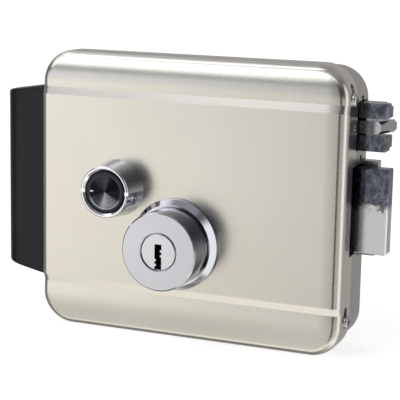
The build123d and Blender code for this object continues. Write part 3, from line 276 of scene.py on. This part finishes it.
finishes = {
    "cover_steel": (pressed, {"dark": (0.67, 0.65, 0.61), "light": (0.72, 0.7, 0.66), "rough": 0.27,
                              "roughSpread": 0.05, "grain": (90.0, 900.0, 6000.0), "bump": 0.0000007,
                              "blotch": 22.0, "toneShare": 0.8, "press": 0.0016, "pressUp": (0.041, 0.0505),
                              "pressOut": (0.0518, 0.061), "outShare": 0.5}),
    "case_steel": (metal, {"dark": (0.46, 0.45, 0.43), "light": (0.58, 0.57, 0.54), "rough": 0.34,
                           "roughSpread": 0.14, "grain": (90.0, 900.0, 5000.0), "bump": 0.000008}),
    "black_plastic": (plastic, {"dark": (0.005, 0.005, 0.007), "light": (0.009, 0.009, 0.012), "rough": 0.3,
                                "roughSpread": 0.16, "grain": 2600.0, "bump": 0.00002, "specular": 0.24}),
    "screw_steel": (metal, {"dark": (0.5, 0.5, 0.49), "light": (0.7, 0.7, 0.69), "rough": 0.24,
                            "roughSpread": 0.16, "grain": (1500.0, 1500.0, 1500.0), "bump": 0.000006}),
    # nickel: dark and mid are painted dark reflection; light is used where the painted reflection or highlight is
    # lighter
    "nickel": (plated, {"dark": (0.06, 0.068, 0.09), "mid": (0.19, 0.205, 0.25), "wornFrom": (0.42, 0.62),
                        "light": (0.66, 0.67, 0.71), "dull": 0.92, "cleanFrom": (0.25, 0.75),
                        "rough": 0.16, "roughSpread": 0.12, "bump": 0.00003, "patch": 420.0,
                        "patchStretch": (1.0, 1.0, 0.6), "patchShare": 0.6, "patchDepth": 0.7,
                        "speck": 1500.0}),
    "slide_steel": (metal, {"dark": (0.4, 0.4, 0.42), "light": (0.6, 0.6, 0.62), "rough": 0.28,
                            "roughSpread": 0.2, "grain": (200.0, 1500.0, 3000.0), "bump": 0.00001}),
    "zinc_plate": (metal, {"dark": (0.5, 0.52, 0.55), "light": (0.68, 0.69, 0.7), "rough": 0.36,
                           "roughSpread": 0.2, "grain": (900.0, 900.0, 900.0), "bump": 0.00001}),
    "spring_steel": (metal, {"dark": (0.3, 0.3, 0.31), "light": (0.48, 0.48, 0.5), "rough": 0.3,
                             "roughSpread": 0.15, "grain": (2500.0, 2500.0, 2500.0), "bump": 0.000004}),
    "chrome": (metal, {"dark": (0.58, 0.59, 0.66), "light": (0.63, 0.64, 0.71), "rough": 0.1,
                       "roughSpread": 0.06, "grain": (700.0, 700.0, 700.0), "bump": 0.000002}),
    "satin_chrome": (metal, {"dark": (0.6, 0.61, 0.68), "light": (0.64, 0.65, 0.72), "rough": 0.2,
                             "roughSpread": 0.08, "grain": (900.0, 900.0, 900.0), "bump": 0.000003}),
    # the button face: dark turned metal, its light tone a painted highlight over one sector
    "dark_chrome": (turned, {"dark": (0.028, 0.028, 0.038), "light": (0.36, 0.36, 0.39), "rough": 0.22,
                             "roughSpread": 0.14, "cut": 1800.0, "edge": (0.0064, 0.0069),
                             "sectorFrom": (0.35, 0.6), "sectorTo": (2.6, 2.9), "glint": 0.45,
                             "glintSpread": 0.7, "patch": 500.0, "ringsPerMetre": 6900.0,
                             "ringEdges": (-0.7, 0.7), "ringShine": 0.08, "ringShade": 0.3}),
    "white_paint": (plastic, {"dark": (0.75, 0.75, 0.77), "light": (0.85, 0.85, 0.87), "rough": 0.5,
                              "roughSpread": 0.1, "grain": 2000.0, "bump": 0.00001}),
    "grub_steel": (metal, {"dark": (0.6, 0.6, 0.6), "light": (0.8, 0.8, 0.8), "rough": 0.16,
                           "roughSpread": 0.1, "grain": (1500.0, 1500.0, 1500.0), "bump": 0.000004}),
    "cam_brass": (metal, {"dark": (0.6, 0.42, 0.16), "light": (0.78, 0.6, 0.3), "rough": 0.28,
                          "roughSpread": 0.2, "grain": (900.0, 900.0, 900.0), "bump": 0.000008}),
    "coil_copper": (windings, {"dark": (0.35, 0.1, 0.03), "light": (0.62, 0.25, 0.1), "metallic": 0.85,
                               "rough": 0.25, "roughSpread": 0.15, "grain": 900.0,
                               "stretch": (1.0, 0.2, 0.2), "coat": 0.6, "coatRough": 0.1}),
    "bobbin_nylon": (plastic, {"dark": (0.7, 0.68, 0.6), "light": (0.82, 0.8, 0.73), "rough": 0.5,
                               "roughSpread": 0.1, "grain": 1500.0, "bump": 0.00001}),
    "soft_iron": (metal, {"dark": (0.36, 0.36, 0.36), "light": (0.52, 0.52, 0.52), "rough": 0.35,
                          "roughSpread": 0.15, "grain": (3000.0, 300.0, 300.0), "bump": 0.000008}),
    "terminal_plastic": (plastic, {"dark": (0.03, 0.1, 0.05), "light": (0.05, 0.15, 0.08), "rough": 0.45,
                                   "roughSpread": 0.15, "grain": 1800.0, "bump": 0.00002}),
}
pieceLooks = {  # how a piece differs from the rest of its slot
    # main bolt: painted reflection, lighter below a height
    "main_bolt": {"border": {"high": 0.0015, "soft": 0.0011, "ragged": 0.011}},
    # trigger tongue: painted highlight, lighter towards its tip
    "trigger_tongue": {"nose": {"out": 0.066, "soft": 0.001, "ragged": 0.002, "least": 0.08, "most": 0.75}},
    # painted shade: the cylinder body is a darker copy of the chrome
    "cylinder_body": {"dark": (0.5, 0.51, 0.575), "light": (0.54, 0.55, 0.615), "rough": 0.12},
    # painted light: the button bezel is a lighter copy of the chrome, brighter than its reflections alone make it
    "button_bezel": {"dark": (0.74, 0.75, 0.79), "light": (0.8, 0.81, 0.85)},
}
materials = {slot: maker(slot, look) for slot, (maker, look) in finishes.items()}
for part in frame["record"]["subparts"]:
    node, slot = part["node"], part["material_slot"]
    finish = materials[slot]
    if node in pieceLooks:
        maker, look = finishes[slot]
        finish = maker(slot + "_" + node, dict(look, **pieceLooks[node]))
    nodes[node].data.materials.clear()
    nodes[node].data.materials.append(finish)
print("finishes made:", len(materials))


# pieces that take the place of plain CAD nodes
def newPiece(name, bm, slotName, body, node, smooth=True):
    mesh = bpy.data.meshes.new(name)
    bmesh.ops.recalc_face_normals(bm, faces=bm.faces)
    bm.to_mesh(mesh)
    bm.free()
    piece = bpy.data.objects.new(name, mesh)
    bpy.context.scene.collection.objects.link(piece)
    for face in mesh.polygons:
        face.use_smooth = smooth
    mesh.materials.append(materials[slotName])
    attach(piece, body)
    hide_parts(node)
    return piece


def ring(bm, count, spot):  # vertices at even angles, each where spot says for its angle
    return [bm.verts.new(spot(2 * math.pi * i / count)) for i in range(count)]


def joinRings(bm, first, second):  # either ring may be a single vertex
    for i in range(max(len(first), len(second))):
        corners = [first[i % len(first)], first[(i + 1) % len(first)],
                   second[(i + 1) % len(second)], second[i % len(second)]]
        bm.faces.new(list(dict.fromkeys(corners)))


buttonFace = {"groovePitch": 0.00055, "grooveDepth": 0.00012, "grooved": 0.0062, "edge": 0.0004,
              "discDepth": 0.0052, "stem": 0.003, "tipEdge": 0.0012, "steps": 96}


def makeButtonFace():  # fine turned rings on the exit button's face
    look = buttonFace
    low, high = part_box("button_cap")
    middle, radius = (low + high) / 2, (high.x - low.x) / 2
    face, tip, back = low.y, high.y, low.y + look["discDepth"]
    outline = [(0.0, face)]  # radius and depth, from the face's middle to the stem's tip
    for i in range(int(look["grooved"] / look["groovePitch"])):
        groove = (i + 0.5) * look["groovePitch"]
        outline += [(groove, face + look["grooveDepth"]), (groove + look["groovePitch"] / 2, face)]
    outline += [(radius - look["edge"], face), (radius, face + look["edge"]), (radius, back),
                (look["stem"], back), (look["stem"], tip - look["tipEdge"]),
                (look["stem"] - look["tipEdge"], tip), (0.0, tip)]
    bm = bmesh.new()
    rings = [ring(bm, look["steps"] if reach else 1,
                  lambda a: (middle.x + reach * math.cos(a), depth, middle.z + reach * math.sin(a)))
             for reach, depth in outline]
    for first, second in zip(rings, rings[1:]):
        joinRings(bm, first, second)
    newPiece("exit_button_face", bm, "dark_chrome", "button", "button_cap", smooth=False)


makeButtonFace()


def windHelix(bm, start, axes, run, reach, wire, turns, steps):  # a wire wound round the first of the axes
    along, across, up = axes
    last = int(turns * steps["perTurn"])
    rings = []
    for i in range(last + 1):
        a = 2 * math.pi * i / steps["perTurn"]
        outward = across * math.cos(a) + up * math.sin(a)
        center = start + along * (run * i / last) + outward * reach
        rings.append(ring(bm, steps["sides"], lambda b: center + outward * (wire * math.cos(b))
                          + along * (wire * math.sin(b))))
    for first, second in zip(rings, rings[1:]):
        joinRings(bm, first, second)
    bm.faces.new(rings[0])
    bm.faces.new(rings[-1][::-1])


def frameAxes():
    return [Vector((1, 0, 0)), Vector((0, 1, 0)), Vector((0, 0, 1))]


coilWire = {"wire": 0.0006, "bore": 0.0052, "perTurn": 40, "sides": 6}


def makeCoilTurns():  # the magnet's winding, turn by turn over a filled core
    look = coilWire
    low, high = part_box("coil_winding")
    middle, wire = (low + high) / 2, look["wire"] / 2
    outer = (high.z - low.z) / 2 - wire
    run = high.x - low.x - 2 * wire
    bm = bmesh.new()
    windHelix(bm, Vector((low.x + wire, middle.y, middle.z)), frameAxes(), run, outer, wire,
              int(run / look["wire"]), look)
    core = [ring(bm, look["perTurn"],
                 lambda a: (x, middle.y + reach * math.cos(a), middle.z + reach * math.sin(a)))
            for x, reach in ((low.x, look["bore"]), (low.x, outer), (high.x, outer), (high.x, look["bore"]))]
    for first, second in zip(core, core[1:] + core[:1]):
        joinRings(bm, first, second)
    newPiece("magnet_wire", bm, "coil_copper", "case", "coil_winding")


makeCoilTurns()

springs = {  # wire is its thickness in metres; joint names the slide the spring lies along
    "bolt_spring": {"joint": "bolt_slide", "wire": 0.0009, "turns": 9},
    "latch_spring": {"joint": "latch_slide", "wire": 0.0009, "turns": 7},
    "trigger_spring": {"joint": "trigger_slide", "wire": 0.00064, "turns": 8},
    "plunger_spring": {"joint": "plunger_slide", "wire": 0.0006, "turns": 7},
    "button_spring": {"joint": "button_press", "wire": 0.001, "turns": 5.5},
}
springSteps = {"perTurn": 32, "sides": 8}


def makeSpring(node, look):
    joint = next(j for j in frame["joints"] if j["name"] == look["joint"])
    low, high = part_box(node)
    middle, wire = (low + high) / 2, look["wire"] / 2
    lengthways = max(range(3), key=lambda i: abs(joint["axis"][i]))
    across = frameAxes()
    along = across.pop(lengthways)
    length = high[lengthways] - low[lengthways]
    start = middle.copy()
    start[lengthways] = low[lengthways] + wire
    bm = bmesh.new()
    windHelix(bm, start, (along, *across), length - 2 * wire, (high.z - low.z) / 2 - wire, wire,
              look["turns"], springSteps)
    piece = newPiece("wound_" + node, bm, "spring_steel", "case", node)
    anchor = middle.copy()  # the seat on the side the joint moves towards
    anchor[lengthways] = low[lengthways] if joint["axis"][lengthways] < 0 else high[lengthways]
    1 - joint["range_m"][1] / length
    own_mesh(piece)


for node, look in springs.items():
    makeSpring(node, look)
print("pieces made")


# floor, lights and camera
floorLook = {"size": 12.0, "color": (0.93, 0.93, 0.93), "fleck": (0.96, 0.96, 0.96), "fleckScale": 400.0,
             "rough": 0.9, "specular": 0.1, "glow": 0.62}


def makeFloor():
    look = floorLook
    half, low = look["size"] / 2, cadBox[0][2]
    flat = bpy.data.meshes.new("floor")
    bm = bmesh.new()
    bm.faces.new([bm.verts.new((x * half, y * half, low)) for x, y in ((-1, -1), (1, -1), (1, 1), (-1, 1))])
    bm.to_mesh(flat)
    bm.free()
    floor = bpy.data.objects.new("floor", flat)
    bpy.context.scene.collection.objects.link(floor)
    material, s = newMaterial("pale_floor")
    surface(s, {"Base Color": s.mix(s.noise(look["fleckScale"]), look["color"], look["fleck"]),
                "Roughness": look["rough"], "Specular IOR Level": look["specular"],
                "Emission Color": (1.0, 1.0, 1.0), "Emission Strength": look["glow"]})
    flat.materials.append(material)
    floor.visible_glossy = False  # the metal sees the sky's own table instead


makeFloor()

# Heights are the Z of a direction, from -1 straight down to 1 straight up; near, bright and under count
# downwards. Turns are in radians, 0 in front of the lock and rising to its right; farLeft counts to the
# left, and behind is the Y of a direction. A pair of numbers is where a smooth step starts and ends.
sky = {
    "backdrop": (1.0, 1.0, 1.0),
    "table": (1.0, 0.97, 0.9), "tableLeft": 1.42, "tableRight": 0.82, "tableTurn": (-0.52, -0.26),
    "tableEdgeLeft": -0.02, "tableEdgeRight": -0.06, "tableSoft": 0.05,
    "tableFront": 0.6, "tableFrontFrom": (0.34, 0.5), "near": 0.75, "nearFrom": (0.2, 0.4),
    "bright": 1.4, "brightFrom": (0.62, 0.74), "under": (0.36, 0.34, 0.32), "underFrom": (0.8, 0.93),
    "room": (0.16, 0.165, 0.175), "roomLeft": (1.1, 1.11, 1.14), "roomTurn": (-0.5, -0.05),
    "farLeft": (0.2, 0.2, 0.21), "farLeftFrom": (0.75, 1.25), "farLeftHigh": (0.3, 0.5),
    "gap": (0.08, 0.08, 0.085), "gapLow": (0.26, 0.38), "gapHigh": (0.52, 0.66),
    "high": (0.35, 0.35, 0.36), "highFrom": (0.84, 0.94),
    "softbox": (1.5, 1.5, 1.5), "softboxLow": (0.6, 0.74), "softboxHigh": (0.76, 0.88),
    "softboxLeft": (-1.9, -1.4), "softboxRight": (-0.05, 0.5),
    "shade": (0.03, 0.03, 0.03), "shadeLow": (-0.75, -0.5),
    "shadeLeft": (-0.1, 0.02), "shadeRight": (0.26, 0.44),
    "dark": (0.03, 0.033, 0.045), "darkLow": (0.02, 0.14), "darkHigh": (0.3, 0.5),
    "darkLeft": (-0.12, 0.2), "darkRight": (0.65, 0.9),
    "behind": (0.43, 0.42, 0.41), "behindFrom": (0.15, 0.55),
    "strip": (1.3, 1.28, 1.25), "stripLeft": (1.15, 1.3), "stripRight": (1.65, 1.85),
    "stripHigh": (0.5, 0.8),
}


def makeSky():  # what the metal sees: bright table, dim room, softbox at the left, dark front right
    world = bpy.data.worlds.new("studio")
    world.use_nodes = True
    bpy.context.scene.world = world
    s = Shader(world.node_tree)
    way = s.node("ShaderNodeSeparateXYZ", None, {0: s.node("ShaderNodeTexCoord")["Generated"]})
    x, y, z = way["X"], way["Y"], way["Z"]
    turn = s.maths("ARCTAN2", x, -y)
    below = -z

    def tableTimes(amount):
        return tuple(c * amount for c in sky["table"])

    toRight = s.between(turn, *sky["tableTurn"])
    table = s.mix(toRight, tableTimes(sky["tableLeft"]), tableTimes(sky["tableRight"]))
    table = s.mix(s.between(turn, *sky["tableFrontFrom"]), table, tableTimes(sky["tableFront"]))
    table = s.mix(s.between(below, *sky["nearFrom"]), table, tableTimes(sky["near"]))
    table = s.mix(s.between(below, *sky["brightFrom"]), table, tableTimes(sky["bright"]))
    table = s.mix(s.between(below, *sky["underFrom"]), table, sky["under"])
    room = s.mix(s.between(turn, *sky["roomTurn"]), sky["roomLeft"], sky["room"])
    edge = sky["tableEdgeLeft"] + toRight * (sky["tableEdgeRight"] - sky["tableEdgeLeft"])
    color = s.mix(s.between(z - edge, -sky["tableSoft"], sky["tableSoft"]), table, room)
    far = s.between(-turn, *sky["farLeftFrom"]) * s.between(z, *sky["farLeftHigh"], 1.0, 0.0)
    color = s.mix(far, color, sky["farLeft"])
    color = s.mix(s.window(z, sky["gapLow"], sky["gapHigh"]), color, sky["gap"])
    color = s.mix(s.between(z, *sky["highFrom"]), color, sky["high"])
    softbox = s.window(z, sky["softboxLow"], sky["softboxHigh"])
    color = s.mix(softbox * s.window(turn, sky["softboxLeft"], sky["softboxRight"]), color, sky["softbox"])
    shade = s.window(z, sky["shadeLow"], sky["darkLow"])
    color = s.mix(shade * s.window(turn, sky["shadeLeft"], sky["shadeRight"]), color, sky["shade"])
    dark = s.window(z, sky["darkLow"], sky["darkHigh"])
    color = s.mix(dark * s.window(turn, sky["darkLeft"], sky["darkRight"]), color, sky["dark"])
    color = s.mix(s.between(y, *sky["behindFrom"], 1.0, 0.0), sky["behind"], color)
    strip = s.window(turn, sky["stripLeft"], sky["stripRight"]) * s.between(z, *sky["stripHigh"], 1.0, 0.0)
    color = s.mix(strip, color, sky["strip"])
    seen = s.node("ShaderNodeLightPath")["Is Camera Ray"]  # behind the lock stands a plain white backdrop
    shown = s.mix(seen, color, sky["backdrop"])
    glow = s.node("ShaderNodeBackground", None, {"Color": shown, "Strength": 1.0})
    s.node("ShaderNodeOutputWorld", None, {"Surface": glow[0]})


makeSky()

keyLamp = {"place": (-0.55, -0.75, 0.75), "aim": (0.0, 0.0, 0.0), "size": (0.8, 0.4), "watts": 1.6}


def addLamp():
    light = bpy.data.lights.new("key", "AREA")
    light.shape = "RECTANGLE"
    light.size, light.size_y = keyLamp["size"]
    light.energy = keyLamp["watts"]
    lamp = bpy.data.objects.new("key", light)
    lamp.location = keyLamp["place"]
    away = Vector(keyLamp["place"]) - Vector(keyLamp["aim"])
    lamp.rotation_euler = away.to_track_quat("Z", "Y").to_euler()
    bpy.context.scene.collection.objects.link(lamp)


addLamp()

view = {"azimuth": 22.617, "elevation": 10.779, "roll": 1.143, "place": (0.19505, -0.48112, 0.0949),
        "lens": 124.48, "sensor": 36.0, "nearest": 0.01}


def addCamera():
    azimuth, elevation, roll = (math.radians(view[k]) for k in ("azimuth", "elevation", "roll"))
    back = Vector((math.sin(azimuth) * math.cos(elevation), -math.cos(azimuth) * math.cos(elevation),
                   math.sin(elevation)))
    level = Vector((math.cos(azimuth), math.sin(azimuth), 0.0))
    right = level * math.cos(roll) + back.cross(level) * math.sin(roll)
    optics = bpy.data.cameras.new("camera")
    optics.lens, optics.sensor_width, optics.clip_start = view["lens"], view["sensor"], view["nearest"]
    camera = bpy.data.objects.new("camera", optics)
    turn = Matrix((right, back.cross(right), back)).transposed()
    camera.matrix_world = Matrix.Translation(view["place"]) @ turn.to_4x4()
    bpy.context.scene.collection.objects.link(camera)
    bpy.context.scene.camera = camera


addCamera()
bpy.context.scene.view_settings.view_transform = "Standard"
print("studio set")
